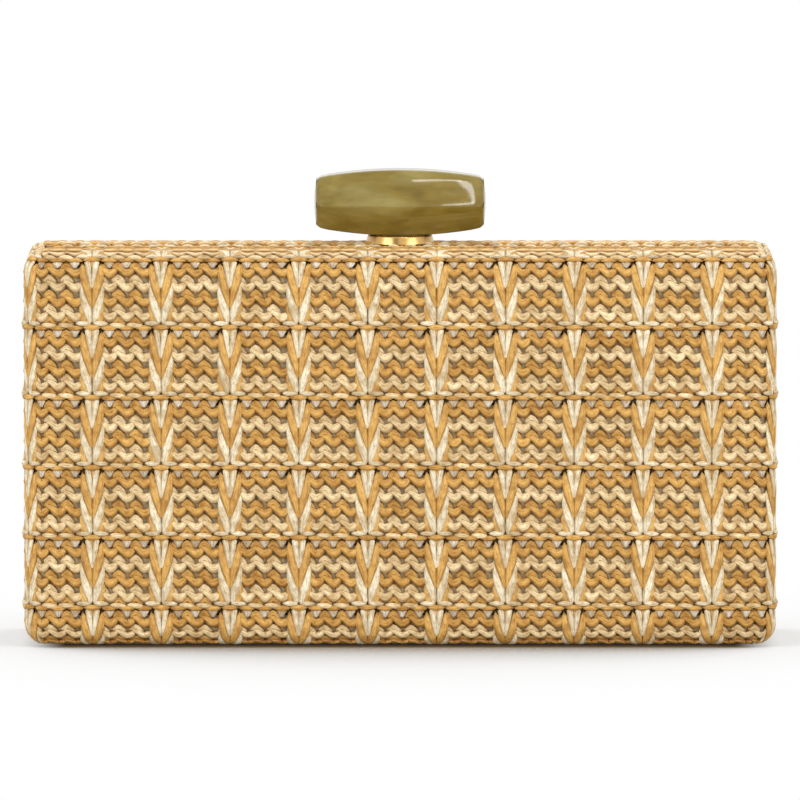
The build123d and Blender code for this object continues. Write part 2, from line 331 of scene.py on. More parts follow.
def resin_material(name, finish):
    """Marbled olive resin: cloudy drifts under a polished surface."""
    material, tree, shader = new_material(name, {
        "Roughness": 0.06, "Specular IOR Level": 0.32,
        "Subsurface Weight": 0.06, "Subsurface Radius": (0.004, 0.003, 0.001),
    })
    place = stretched(tree, object_place(tree), (0.42, 1.0, 1.0), (0.0, 0.12, 0.2))
    drift = noise(tree, place, Scale=115.0, Detail=2.5, Roughness=0.5, Distortion=0.5)
    veil = noise(tree, place, Scale=380.0, Detail=4.0, Distortion=0.4)
    body = ramp(tree, drift, [(0.24, finish.resin_deep), (0.46, finish.resin), (0.66, finish.resin_cloud)],
                "EASE")
    cloud = ramp(tree, veil, [(0.38, (0.78, 0.76, 0.68)), (0.68, (1.18, 1.18, 1.18))])
    dress(tree, shader, {"Base Color": mix_colour(tree, "MULTIPLY", 0.6, body, cloud)})
    return material


def metal_material(name, colour, low, high, scale, scratch):
    """Metal with faint rubbing marks, whose roughness goes from low to high."""
    material, tree, shader = new_material(name, {"Metallic": 1.0})
    rub = noise(tree, object_place(tree), Scale=scale, Detail=3.0)
    dress(tree, shader, {
        "Base Color": ramp(tree, rub, [(0.3, dark(colour, 0.88)), (0.7, colour)]),
        "Roughness": ramp(tree, rub, grey_stops((0.3, low), (0.7, high))),
        "Normal": relief(tree, rub, scratch, 0.00002),
    })
    return material


def lining_material(name, finish):
    """Fine ribbed cloth with a soft sheen."""
    material, tree, shader = new_material(name, {"Roughness": 0.75, "Sheen Weight": 0.3})
    place = object_place(tree)
    warp, weft = [add_node(tree, "TexWave", {"Vector": place}, Scale=330.0, Distortion=0.6,
                           wave_type="BANDS", bands_direction=direction).outputs["Fac"]
                  for direction in ("X", "DIAGONAL")]
    thread = mix_colour(tree, "ADD", 0.5, warp, weft)
    mottle = noise(tree, place, Scale=60.0, Detail=4.0)
    cloth = ramp(tree, mottle, [(0.3, dark(finish.lining, 0.84)), (0.7, finish.lining)])
    shade = ramp(tree, thread, grey_stops((0.2, 0.80), (0.9, 1.0)))
    dress(tree, shader, {
        "Base Color": mix_colour(tree, "MULTIPLY", 0.8, cloth, shade),
        "Normal": relief(tree, thread, 0.35, 0.0002),
    })
    return material


def wood_material(name, finish):
    """Bent wood sheet with a straight grain along the case."""
    material, tree, shader = new_material(name, {"Roughness": 0.6})
    grain = noise(tree, stretched(tree, object_place(tree), (0.12, 1.0, 1.0)), Scale=600.0, Detail=4.0)
    dress(tree, shader, {
        "Base Color": ramp(tree, grain, [(0.3, dark(finish.wood, 0.6)), (0.7, finish.wood)]),
        "Normal": relief(tree, grain, 0.3, 0.0002),
    })
    return material


# The cloth on the case

class Cover:
    """The cloth of the front half, measured along its surface from the middle of the front."""

    def __init__(self, case):
        self.radius = case.edge_radius
        self.quarter = self.radius * pi / 2
        self.flat_x = case.half_width - self.radius
        self.flat_y = case.half_depth - self.radius
        self.base = self.radius
        self.top = case.height - self.radius
        self.mouth = case.mouth
        self.channel = case.hinge_channel
        self.side_end = self.flat_x + self.quarter + self.flat_y - self.mouth
        self.top_end = self.top + self.quarter + self.flat_y - self.mouth
        self.base_end = self.base - self.quarter - self.flat_y + self.channel
        self.corner_top = self.top + self.quarter
        self.corner_base = self.base - self.quarter

    def tuck(self, gap):
        """How far the cloth dips towards the frame at its edge."""
        run, depth = 0.0013, 0.0011
        return depth * (1 - np.clip(gap / run, 0, 1)) ** 2

    def reach_at(self, height):
        """How far a row at this height runs to each side: round the sides, or to the edge of top and base."""
        on_side = self.corner_base < height < self.corner_top
        return self.side_end if on_side else self.flat_x + OVERHANG

    def points(self, u, v, h):
        """Places of points u along, v up and h out of the cloth."""
        over = np.clip(v - self.top, 0, None)
        under = np.clip(self.base - v, 0, None)
        h = np.where(under > 0, np.minimum(h, 0), h)
        bend = (np.minimum(over, self.quarter) - np.minimum(under, self.quarter)) / self.radius
        top_past = np.clip(over - self.quarter, 0, self.flat_y - self.mouth)
        base_past = np.clip(under - self.quarter, 0, self.flat_y - self.channel)
        beyond = np.abs(u) - self.flat_x
        side_past = np.clip(beyond - self.quarter, 0, self.flat_y - self.mouth)
        side_past = np.where(over >= self.quarter, 0.0, side_past)
        gap = self.flat_y - self.mouth - np.maximum(top_past, side_past)
        gap = np.minimum(gap, self.flat_y - self.channel - base_past)
        reach = self.radius + h - self.tuck(gap)
        out = reach * np.cos(bend)
        turn = np.clip(beyond, 0, self.quarter) / self.radius
        on_top = (over >= self.quarter) & (beyond > 0)
        out_x = np.where(on_top, reach, out)
        x = np.where(beyond <= 0, u, np.sign(u) * (self.flat_x + out_x * np.sin(turn)))
        y = -self.flat_y - out * np.cos(turn) + top_past + base_past + side_past
        z = np.clip(v, self.base, self.top) + reach * np.sin(bend) * np.where(on_top, np.cos(turn), 1.0)
        return np.stack([x, y, z], axis=-1)


class StrandLoom:
    """Gathers strands of one make, each a grid that is rolled up round its course."""

    def __init__(self, cover, along, around, painted_edge_shade):
        self.cover = cover
        self.along = along
        self.around = around
        self.painted_edge_shade = painted_edge_shade
        self.strands = []
        self.dyes = []
        self.tones = []

    def lay(self, course, dye, tone):
        """Lays one strand; course gives (u, v, h, half width, half thickness) from end to end."""
        self.strands.append([course(step / self.along) for step in range(self.along + 1)])
        self.dyes.append(dye)
        self.tones.append(tone)

    def grids(self):
        """One flat grid for each strand, in one mesh."""
        bm = bmesh.new()
        bmesh.ops.create_grid(bm, x_segments=self.along, y_segments=self.around, size=0.5)
        for face in bm.faces:
            face.smooth = True
        flat = bpy.data.meshes.new("flat_strand")
        bm.to_mesh(flat)
        bm.free()
        holder = bpy.data.objects.new("flat_strand", flat)
        bpy.context.scene.collection.objects.link(holder)
        copies = holder.modifiers.new("copies", "ARRAY")
        copies.count = len(self.strands)
        copies.use_relative_offset = False
        ready = holder.evaluated_get(bpy.context.evaluated_depsgraph_get())
        mesh = bpy.data.meshes.new_from_object(ready)
        bpy.data.objects.remove(holder)
        bpy.data.meshes.remove(flat)
        return mesh

    def finish(self):
        """Rolls the grids up, closes their seams and pointed ends and turns their faces outwards."""
        mesh = self.grids()
        size = (self.along + 1) * (self.around + 1)
        flat = np.empty(len(mesh.vertices) * 3)
        mesh.vertices.foreach_get("co", flat)
        flat = flat.reshape(len(self.strands), size, 3)
        step = np.rint((flat[..., 0] + 0.5) * self.along).astype(int)
        spot = flat[..., 1]

        rings = np.array(self.strands)
        ahead = np.roll(rings[..., :2], -1, axis=1)
        behind = np.roll(rings[..., :2], 1, axis=1)
        ahead[:, -1] = rings[:, -1, :2]
        behind[:, 0] = rings[:, 0, :2]
        run = ahead - behind
        shortest = 1e-9
        run /= np.maximum(np.linalg.norm(run, axis=-1, keepdims=True), shortest)
        steps = np.linalg.norm(np.diff(rings[..., :2], axis=1), axis=-1)
        reached = np.concatenate([np.zeros((len(rings), 1)), np.cumsum(steps, axis=1)], axis=1)

        row = np.arange(len(rings))[:, None]
        at = rings[row, step]
        lead = run[row, step]
        turn = 2 * pi * spot + pi / 2
        side = at[..., 3] * np.cos(turn)
        place = self.cover.points(at[..., 0] - lead[..., 1] * side, at[..., 1] + lead[..., 0] * side,
                                  at[..., 2] + at[..., 4] * np.sin(turn))
        mesh.vertices.foreach_set("co", place.ravel())

        tone = np.repeat(self.tones, size)
        # Millimetres along the strand, moved by its tone so that neighbours have other fibres
        along = reached[row, step].ravel() * 1000 + 10 * tone
        around = spot.ravel() + 0.5
        corner = np.empty(len(mesh.loops), dtype=int)
        mesh.loops.foreach_get("vertex_index", corner)
        for layer in list(mesh.uv_layers):
            mesh.uv_layers.remove(layer)
        strand_uv = mesh.uv_layers.new(name="strand")
        strand_uv.data.foreach_set("uv", np.stack([along[corner], around[corner]], axis=-1).ravel())
        mesh.attributes.new("tone", "FLOAT", "POINT").data.foreach_set("value", tone)
        # How strongly the raffia material paints shade along the edges of these strands
        painted_edge_shade = np.full(len(tone), self.painted_edge_shade)
        mesh.attributes.new("painted_edge_shade", "FLOAT", "POINT").data.foreach_set("value", painted_edge_shade)
        mesh.attributes.new("dye", "FLOAT", "POINT").data.foreach_set("value", np.repeat(self.dyes, size))

        bm = bmesh.new()
        bm.from_mesh(mesh)
        bpy.data.meshes.remove(mesh)
        closed = 2e-7
        bmesh.ops.remove_doubles(bm, verts=bm.verts, dist=closed)
        bmesh.ops.recalc_face_normals(bm, faces=bm.faces)
        return bm


def rounded(share):
    """A quarter circle from 0 at the end of a strand to 1 where it is full."""
    return sqrt(max(0.0, 1 - (1 - min(share, 1.0)) ** 2))


def end_taper(t, share):
    """1 along a strand and 0 at its two ends, rounded over a share of its length."""
    return rounded(min(t, 1 - t) / share)


def add_piece(name, bm, body, material, replaced=()):
    """Makes a finished piece of a mesh, riding on a body of the frame."""
    mesh = bpy.data.meshes.new(name)
    bm.to_mesh(mesh)
    mesh.materials.append(material)
    piece = bpy.data.objects.new(name, mesh)
    bpy.context.scene.collection.objects.link(piece)
    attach(piece, body)
    if replaced:
        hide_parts(*replaced)
    return piece


def add_both_halves(name, bm, material, replaced=False):
    """The piece on the front half, and its mirror image on the back half, open round the clasp."""
    for half in ("front", "back"):
        copy = bm.copy()
        if half == "back":
            bmesh.ops.scale(copy, vec=(1, -1, 1), verts=copy.verts)
            bmesh.ops.reverse_faces(copy, faces=copy.faces)
            low, high = NUT_SOLID
            axis = Vector(((low[0] + high[0]) / 2, (low[1] + high[1]) / 2))
            hole, top_wall = 0.0045, 0.09
            inside = [vert for vert in copy.verts
                      if vert.co.z > top_wall and (vert.co.xy - axis).length < hole]
            bmesh.ops.delete(copy, geom=inside, context="VERTS")
        covers = (half + "_weave",) if replaced else ()
        add_piece(half + "_" + name, copy, BODIES[half], material, covers)
        copy.free()
    bm.free()


def settings():
    """The settings of the clutch in this scene."""
    return bpy.context.scene.clutch


def weave_raffia():
    """The raffia material, made once."""
    found = bpy.data.materials.get("dyed_raffia")
    return found or raffia_material("dyed_raffia", settings().weave)


def rib_places(weave, reach):
    """Places of the plaited ribs along the cloth."""
    count = ceil(reach / weave.rib_pitch)
    places = [weave.rib_shift + (index + 0.5) * weave.rib_pitch for index in range(-count, count)]
    return [place for place in places if abs(place) < reach]


def cord_places(weave, cover):
    """Places of the twisted cords up the cloth, from below the base to over the top."""
    first = floor((cover.base_end - weave.first_cord) / weave.cord_pitch)
    last = ceil((cover.top_end - weave.first_cord) / weave.cord_pitch)
    return [weave.first_cord + index * weave.cord_pitch for index in range(first, last + 1)]


# Operators

class CLUTCH_OT_ground_cloth(bpy.types.Operator):
    """Lays the ground cloth under the stitches of both halves"""
    bl_idname = "clutch.ground_cloth"
    bl_label = "Ground cloth"

    def execute(self, context):
        cover = Cover(settings().case)
        depth, thickness = -0.00150, 0.0004
        bm = bmesh.new()
        # Each sheet: its left, right, low and high edge, and its faces across and up
        sheets = (
            (-cover.flat_x, cover.flat_x, cover.base_end, cover.top_end, 24, 48),
            (cover.flat_x, cover.side_end, cover.corner_base, cover.corner_top, 16, 40),
            (-cover.side_end, -cover.flat_x, cover.corner_base, cover.corner_top, 16, 40),
        )
        for left, right, low, high, across, up in sheets:
            made = bmesh.ops.create_grid(bm, x_segments=across, y_segments=up, size=0.5)
            for vert in made["verts"]:
                u = left + (vert.co.x + 0.5) * (right - left)
                v = low + (vert.co.y + 0.5) * (high - low)
                vert.co = cover.points(u, v, depth)
        bmesh.ops.remove_doubles(bm, verts=bm.verts, dist=SAME_POINT)
        bmesh.ops.recalc_face_normals(bm, faces=bm.faces)
        outward = sum(face.normal.y * face.calc_area() for face in bm.faces)
        if outward > 0:
            bmesh.ops.reverse_faces(bm, faces=bm.faces)
        for face in bm.faces:
            face.smooth = True
        bmesh.ops.solidify(bm, geom=bm.faces, thickness=thickness)
        add_both_halves("ground_cloth", bm, ground_material("ground_cloth", settings().weave), True)
        return {"FINISHED"}


# The two strands of a stitch: place in stitches from its crest, height over the row and half width
ARCH = (
    (-0.33, -0.00020, 0.00058), (-0.26, 0.00045, 0.00080), (-0.18, 0.00108, 0.00090),
    (-0.09, 0.00152, 0.00094), (0.00, 0.00166, 0.00096), (0.09, 0.00152, 0.00094),
    (0.18, 0.00110, 0.00092), (0.27, 0.00052, 0.00090), (0.36, -0.00012, 0.00082),
    (0.42, -0.00055, 0.00064),
)
SWEEP = (
    (-0.20, 0.00054, 0.00034), (-0.10, 0.00050, 0.00060), (0.00, 0.00038, 0.00072),
    (0.12, 0.00012, 0.00082), (0.25, -0.00030, 0.00096), (0.36, -0.00074, 0.00114),
    (0.46, -0.00100, 0.00134), (0.54, -0.00108, 0.00142), (0.64, -0.00096, 0.00136),
    (0.75, -0.00062, 0.00116), (0.86, -0.00012, 0.00084), (0.97, 0.00044, 0.00020),
)


class CLUTCH_OT_knit(bpy.types.Operator):
    """Knits the panels between the plaited ribs, stitch by stitch"""
    bl_idname = "clutch.knit"
    bl_label = "Knitted panels"

    full_rows = 4
    arch_depth, sweep_depth = -0.00122, -0.00088
    # An arch is in the shade of the sweep over it, so its tone is lowered by this much as painted shade
    arch_shade = 0.35
    # Share of a stitch that a rib hides, and cloth left free of rows at the mouth and the hinge
    rib_cover, free_edge = 0.55, 0.0014
    tone_range, tone_change, height_change = (0.25, 0.75), 0.25, 0.00012

    def execute(self, context):
        weave = settings().weave
        cover = Cover(settings().case)
        draw = Random(weave.seed)
        arches = StrandLoom(cover, along=7, around=6, painted_edge_shade=0.9)
        sweeps = StrandLoom(cover, along=10, around=6, painted_edge_shade=0.9)
        stitch = weave.rib_pitch / weave.stitches
        ribs = rib_places(weave, cover.side_end + weave.rib_pitch)
        # The last row lies behind the next cord, and only its arches show
        drops = [weave.first_row + weave.row_pitch * row for row in range(self.full_rows)]
        drops.append(weave.cord_pitch)
        for cord in cord_places(weave, cover):
            for row, drop in enumerate(drops):
                height = cord - drop
                if not cover.base_end + self.free_edge < height < cover.top_end - self.free_edge:
                    continue
                reach = cover.reach_at(height)
                dye = HONEY if row % 2 == 0 else OAT
                for left in ribs[:-1]:
                    row_tone = draw.uniform(*self.tone_range)
                    low = max(left + self.rib_cover * stitch, -reach)
                    high = min(left + (weave.stitches - self.rib_cover) * stitch, reach)
                    for count in range(weave.stitches - 1):
                        crest = left + (count + 0.5) * stitch
                        tone = row_tone + draw.uniform(-self.tone_change, self.tone_change)
                        lift = height + draw.uniform(-self.height_change, self.height_change)
                        span = (crest, lift, stitch, low, high)
                        self.lay_strand(arches, ARCH, span, self.arch_depth, dye, tone - self.arch_shade)
                        if row < self.full_rows:
                            self.lay_strand(sweeps, SWEEP, span, self.sweep_depth, dye, tone)
        add_both_halves("knit_arches", arches.finish(), weave_raffia())
        add_both_halves("knit", sweeps.finish(), weave_raffia())
        return {"FINISHED"}

    def lay_strand(self, loom, table, span, depth, dye, tone):
        """One strand of a stitch, cut off where it goes under a rib."""
        crest, height, stitch, low, high = span
        shortest, end_share, end_dip, thickness, thickening = 0.15, 0.12, 0.00030, 0.00034, 0.20
        places, rises, widths = zip(*table)
        start = max(places[0], (low - crest) / stitch)
        end = min(places[-1], (high - crest) / stitch)
        if end - start < shortest:
            return

        def course(t):
            place = start + (end - start) * t
            full = end_taper(t, end_share)
            half = float(np.interp(place, places, widths))
            up = height + float(np.interp(place, places, rises))
            h = depth - end_dip * (1 - full)
            return crest + stitch * place, up, h, half * full, (thickness + thickening * half) * full

        loom.lay(course, dye, tone)


class CLUTCH_OT_plaits(bpy.types.Operator):
    """Plaits the ribs: pairs of ribbons that lean together, one pair over the next"""
    bl_idname = "clutch.plaits"
    bl_label = "Plaited ribs"

    # Each ribbon: dye, depth of its middle, and its inner and outer edge at places down the rib
    ribbons = (
        (HONEY, 0.00060, ((0.0004, -0.0004, 0.0004), (0.0016, -0.0003, 0.0003), (0.0032, -0.0001, 0.0001))),
        (CREAM, 0.00034, ((0.0003, 0.0003, 0.0021), (0.0030, 0.0, 0.0016), (0.0060, -0.0001, 0.0009),
                          (0.0088, -0.0001, 0.0002))),
        (HONEY, 0.00042, ((0.0014, 0.0018, 0.0031), (0.0040, 0.0010, 0.0032), (0.0065, 0.0003, 0.0029),
                          (0.0086, -0.0001, 0.0022), (0.0112, -0.0001, 0.0012), (0.0140, -0.0001, 0.0002))),
        (CREAM, 0.00052, ((0.0060, 0.0025, 0.0032), (0.0092, 0.0017, 0.0032), (0.0118, 0.0007, 0.0031),
                          (0.0138, -0.0001, 0.0025), (0.0160, -0.0001, 0.0016), (0.0178, -0.0001, 0.0009))),
        (HONEY, 0.00062, ((0.0114, 0.0026, 0.0032), (0.0140, 0.0019, 0.0033), (0.0160, 0.0011, 0.0031),
                          (0.0178, 0.0006, 0.0025))),
    )

    # A rib on a short side stops before the edges of the top and the base
    side_stop = 0.0012
    tone_range, place_change = (0.4, 1.0), 0.00006

    def execute(self, context):
        weave = settings().weave
        cover = Cover(settings().case)
        draw = Random(weave.seed + 1)
        loom = StrandLoom(cover, along=9, around=6, painted_edge_shade=0.55)
        for rib in rib_places(weave, cover.side_end):
            on_side = abs(rib) > cover.flat_x
            low = cover.corner_base + self.side_stop if on_side else cover.base_end
            high = cover.corner_top - self.side_stop if on_side else cover.top_end
            for cord in cord_places(weave, cover):
                for ribbon in self.ribbons:
                    for side in (-1, 1):
                        self.lay_ribbon(loom, draw, rib, cord, side, ribbon, low, high)
        add_both_halves("plaits", loom.finish(), weave_raffia())
        return {"FINISHED"}

    def lay_ribbon(self, loom, draw, rib, cord, side, ribbon, low, high):
        """One ribbon of a pair, cut off where the cloth ends."""
        dye, depth, edges = ribbon
        shortest, end_share, thickness, overlap = 0.15, 0.10, 0.00030, 0.00004
        head_dip, foot_dip = 0.00050, 0.00025
        tone = draw.uniform(*self.tone_range)
        drift = draw.uniform(-self.place_change, self.place_change)
        places, inner, outer = zip(*edges)
        length = places[-1] - places[0]
        start = max(places[0], cord - high)
        end = min(places[-1], cord - low)
        if end - start < shortest * length:
            return

        def course(t):
            down = start + (end - start) * t
            near = float(np.interp(down, places, inner))
            far = float(np.interp(down, places, outer))
            full = end_taper(t, end_share)
            share = (down - places[0]) / length
            dip = head_dip * (1 - share) ** 4 + foot_dip * share ** 4
            width = ((far - near) / 2 + overlap) * full
            return rib + side * (near + far) / 2 + drift, cord - down, -depth - dip, width, thickness * full

        loom.lay(course, dye, tone)


# Turns of a cord: dye, height over the cord, half length in stitches, half height, depth, sag and slope
RIB_TURN = (HONEY, -0.00039, 0.56, 0.00082, -0.00036, 0.00004, 0.0)
LOW_TURN = (HONEY, -0.00046, 0.54, 0.00078, -0.00054, 0.00016, 0.00004)
HIGH_TURN = (OAT, 0.00002, 0.52, 0.00078, -0.00026, -0.00004, 0.00022)
CREAM_TURN = (CREAM, 0.00050, 0.48, 0.00074, -0.00036, -0.00006, 0.00010)


class CLUTCH_OT_cords(bpy.types.Operator):
    """Twists the cords that run round the case, the small knots under them and the strips of painted shade
    below them
    """
    bl_idname = "clutch.cords"
    bl_label = "Twisted cords"

    # Cloth left free of cords at the mouth and the hinge, and how far the painted shade strip and a knot lie
    # below a cord
    free_edge, bed_drop, knot_drop = 0.0012, 0.0013, 0.00205

    def execute(self, context):
        weave = settings().weave
        cover = Cover(settings().case)
        draw = Random(weave.seed + 2)
        loom = StrandLoom(cover, along=8, around=6, painted_edge_shade=0.45)
        shade_strips = StrandLoom(cover, along=120, around=4, painted_edge_shade=0.0)
        stitch = weave.rib_pitch / weave.stitches
        for cord in cord_places(weave, cover):
            if not cover.base_end + self.free_edge < cord < cover.top_end - self.free_edge:
                continue
            reach = cover.reach_at(cord)
            count = floor(reach / stitch)
            self.lay_shade_strip(shade_strips, cord - self.bed_drop, reach)
            for place in range(-count, count + 1):
                from_rib = (place - weave.stitches // 2) % weave.stitches
                middle = weave.rib_shift + place * stitch
                low_turn = RIB_TURN if from_rib == 0 else LOW_TURN
                self.lay_turn(loom, draw, low_turn, middle, cord, stitch, reach)
                if from_rib != 0:
                    self.lay_knot(loom, draw, middle, cord - self.knot_drop)
                high_turn = CREAM_TURN if from_rib in (0, weave.stitches - 1) else HIGH_TURN
                self.lay_turn(loom, draw, high_turn, middle + stitch / 2, cord, stitch, reach)
        add_both_halves("cords", loom.finish(), weave_raffia())
        add_both_halves("cord_shade_strips", shade_strips.finish(), weave_raffia())
        return {"FINISHED"}

    def lay_shade_strip(self, loom, height, reach):
        """A near-black strip of painted shade under the cord, seen in the gaps below it."""
        end_share, depth, half, thickness, tone = 0.01, -0.00150, 0.00120, 0.00020, 0.5

        def course(t):
            full = end_taper(t, end_share)
            return reach * (2 * t - 1), height, depth, half * full, thickness * full

        loom.lay(course, SHADE, tone)

    def lay_turn(self, loom, draw, turn, middle, cord, stitch, reach):
        """One visible turn of a strand of the cord, which dives under its neighbours at both ends."""
        dye, rise, share, width, top, sag, slope = turn
        end_dip, point, thickness = 0.00050, 1.4, 0.00060
        tone = draw.random()
        half = share * stitch
        left = max(middle - half, -reach)
        right = min(middle + half, reach)
        if right - left < half:
            return

        def course(t):
            u = left + (right - left) * t
            lean = (u - middle) / half
            v = cord + rise - sag * (1 - lean * lean) - slope * lean
            h = top - end_dip * lean * lean
            full = end_taper(t, 0.5) ** point
            return u, v, h, width * full, thickness * full

        loom.lay(course, dye, tone)

    def lay_knot(self, loom, draw, middle, height):
        """A small grey knot that shows under the cord, broad above and narrow below."""
        end_share, broad, narrowing, length, depth, thickness = 0.2, 0.00172, 0.8, 0.0020, -0.00100, 0.00060
        tone = draw.random()

        def course(t):
            full = end_taper(t, end_share)
            half = broad * (1 - narrowing * t) * full
            return middle, height + length * (0.5 - t), depth, half, thickness * full

        loom.lay(course, GREY, tone)


class CLUTCH_OT_knob(bpy.types.Operator):
    """Turns the barrel knob with six soft-edged facets"""
    bl_idname = "clutch.knob"
    bl_label = "Resin knob"

    def execute(self, context):
        low, high = Vector(KNOB_SOLID[0]), Vector(KNOB_SOLID[1])
        middle = (low + high) / 2
        crown = (high.z - low.z) / 2
        end_dome, end_share, facet_bulge, ridge_drop = 0.0007, 0.77, 0.00035, 0.0007
        ridge_bevel, rim_bevel, shortest_run, facet = 0.00028, 0.0012, 0.0005, pi / 3
        half_length = (high.x - low.x) / 2 - end_dome
        bm = bmesh.new()
        bmesh.ops.create_cone(bm, cap_ends=True, segments=24, radius1=crown, radius2=crown,
                              depth=2 * half_length, matrix=Matrix.Rotation(pi / 2, 4, "Y"))
        caps = [face for face in bm.faces if len(face.verts) > 4]
        cap_rings = (0.0020, 0.0022, 0.0022)
        for ring in cap_rings:
            bmesh.ops.inset_individual(bm, faces=caps, thickness=ring)
        long_edges = [edge for edge in bm.edges
                      if abs(edge.verts[0].co.x - edge.verts[1].co.x) > half_length]
        bmesh.ops.subdivide_edges(bm, edges=long_edges, cuts=13, use_grid_fill=True)
        ridges = []
        for edge in bm.edges:
            start, end = (vert.co for vert in edge.verts)
            turn = atan2(start.y, start.z)
            lean = (turn + facet / 2) % facet - facet / 2
            lengthwise = abs(start.x - end.x) > shortest_run
            if lengthwise and isclose(abs(lean), facet / 2, abs_tol=0.01):
                ridges.append(edge)
        for vert in bm.verts:
            turn = atan2(vert.co.y, vert.co.z)
            lean = (turn + facet / 2) % facet - facet / 2
            on_side = abs(sin(turn - lean)) > 0.5
            bulge = facet_bulge * (1 - (tan(lean) / tan(facet / 2)) ** 2) if on_side else 0.0
            radius = vert.co.yz.length / crown
            share = vert.co.x / half_length
            swell = (crown + bulge) / cos(lean) * radius * (1 - (1 - end_share) * share * share)
            vert.co.x += copysign(end_dome * (1 - radius * radius), vert.co.x) if radius < 0.999 else 0.0
            vert.co.y = swell * sin(turn)
            vert.co.z = swell * cos(turn) - ridge_drop * radius * sin(turn) ** 4
        bmesh.ops.bevel(bm, geom=ridges, offset=ridge_bevel, offset_type="OFFSET", segments=2,
                        profile=0.5, affect="EDGES", material=-1)
        rim_edges = [edge for edge in bm.edges
                     if all(isclose(abs(vert.co.x), half_length, abs_tol=1e-5) for vert in edge.verts)]
        bmesh.ops.bevel(bm, geom=rim_edges, offset=rim_bevel, offset_type="OFFSET", segments=4,
                        profile=0.5, affect="EDGES", material=-1)
        bmesh.ops.remove_doubles(bm, verts=bm.verts, dist=SAME_POINT)
        bmesh.ops.recalc_face_normals(bm, faces=bm.faces)
        bmesh.ops.translate(bm, vec=middle, verts=bm.verts)
        for face in bm.faces:
            face.smooth = True
        piece = add_piece("resin_knob", bm, "clasp",
                          resin_material("olive_resin", settings().finish), ("clasp_knob",))
        bm.free()
        normals = piece.modifiers.new("facet_shading", "WEIGHTED_NORMAL")
        normals.keep_sharp = True
        normals.weight = 60
        return {"FINISHED"}


class CLUTCH_OT_disc(bpy.types.Operator):
    """Turns the gold disc under the knob, with its collar through the top wall"""
    bl_idname = "clutch.disc"
    bl_label = "Gold disc"

    def execute(self, context):
        low, high = Vector(DISC_SOLID[0]), Vector(DISC_SOLID[1])
        axis = Vector(((low.x + high.x) / 2, (low.y + high.y) / 2, 0.0))
        radius = (high.x - low.x) / 2
        sink, bore, collar, rim, lean = 0.0005, 0.00205, 0.00400, 0.00030, 0.00055
        boss, boss_rise = 0.0076, 0.00015
        seat = settings().case.height - sink
        outline = [(bore, low.z), (bore, high.z + boss_rise), (boss, high.z + boss_rise), (boss, high.z),
                   (radius - lean, high.z), (radius, seat), (collar, seat), (collar, low.z)]
        bm = bmesh.new()
        corners = [bm.verts.new((across, 0.0, up)) for across, up in outline]
        profile = [bm.edges.new(pair) for pair in zip(corners, corners[1:] + corners[:1])]
        bmesh.ops.spin(bm, geom=corners + profile, axis=(0, 0, 1), cent=(0, 0, 0), angle=2 * pi, steps=96,
                       use_merge=True)
        rims = [edge for edge in bm.edges
                if isclose(edge.verts[0].co.z, edge.verts[1].co.z, abs_tol=1e-7)
                and min(vert.co.xy.length for vert in edge.verts) > radius - 1.5 * lean]
        bmesh.ops.bevel(bm, geom=rims, offset=rim, offset_type="OFFSET", segments=4, profile=0.5,
                        affect="EDGES", material=-1)
        bmesh.ops.recalc_face_normals(bm, faces=bm.faces)
        bmesh.ops.translate(bm, vec=axis, verts=bm.verts)
        for face in bm.faces:
            face.smooth = True
        finish = settings().finish
        gold = metal_material("polished_gold", finish.gold, low=0.24, high=0.30, scale=300.0, scratch=0.02)
        piece = add_piece("gold_disc", bm, "back_half", gold, ("clasp_rosette",))
        bm.free()
        normals = piece.modifiers.new("rim_shading", "WEIGHTED_NORMAL")
        normals.weight = 80
        return {"FINISHED"}


class CLUTCH_OT_fittings(bpy.types.Operator):
    """Gives the frames, hinge, latch, shells and linings their finishes"""
    bl_idname = "clutch.fittings"
    bl_label = "Fittings"

    def execute(self, context):
        finish = settings().finish
        brass = metal_material("satin_brass", finish.brass, low=0.22, high=0.38, scale=700.0, scratch=0.25)
        lining = lining_material("lining_cloth", finish)
        wood = wood_material("shell_wood", finish)
        shown = {
            brass: ("front_frame", "back_frame", "front_knuckles", "back_knuckles", "hinge_pin",
                    "clasp_nut", "clasp_stem", "latch_cam", "latch_keeper"),
            lining: ("front_lining", "back_lining"),
            wood: ("front_shell", "back_shell"),
        }
        for material, names in shown.items():
            for name in names:
                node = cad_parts[name]
                for slot in node.material_slots:
                    slot.material = material
        return {"FINISHED"}


# Lamps: name, place, width, height, watts, and whether polished pieces mirror it
LAMPS = (
    ("top_softbox", (0.0, 0.18, 1.20), 1.0, 0.9, 7.2, True),
    ("right_fill", (0.95, -1.00, 0.36), 0.7, 0.5, 7.5, True),
    ("left_fill", (-0.95, -1.00, 0.36), 0.7, 0.5, 8.3, True),
    ("right_rear_fill", (0.95, 1.10, 0.30), 0.7, 0.5, 7.5, False),
    ("left_rear_fill", (-0.95, 1.10, 0.30), 0.7, 0.5, 7.5, False),
)
# Strips of the window that the knob mirrors: both ends in degrees across and up from it, and the width
WINDOW_STRIPS = (((6, 57), (29, 57), 0.03), ((28, 40), (28, 57), 0.05), ((15, 40), (29, 40), 0.03))
# How clear the floor is, by the share of the room that a place on it sees; where it is not clear, a dark
# painted shadow shows
FLOOR_CLEAR = ((0.40, 0.02), (0.49, 0.09), (0.555, 0.45), (0.658, 0.80), (0.80, 0.95), (0.92, 1.0))


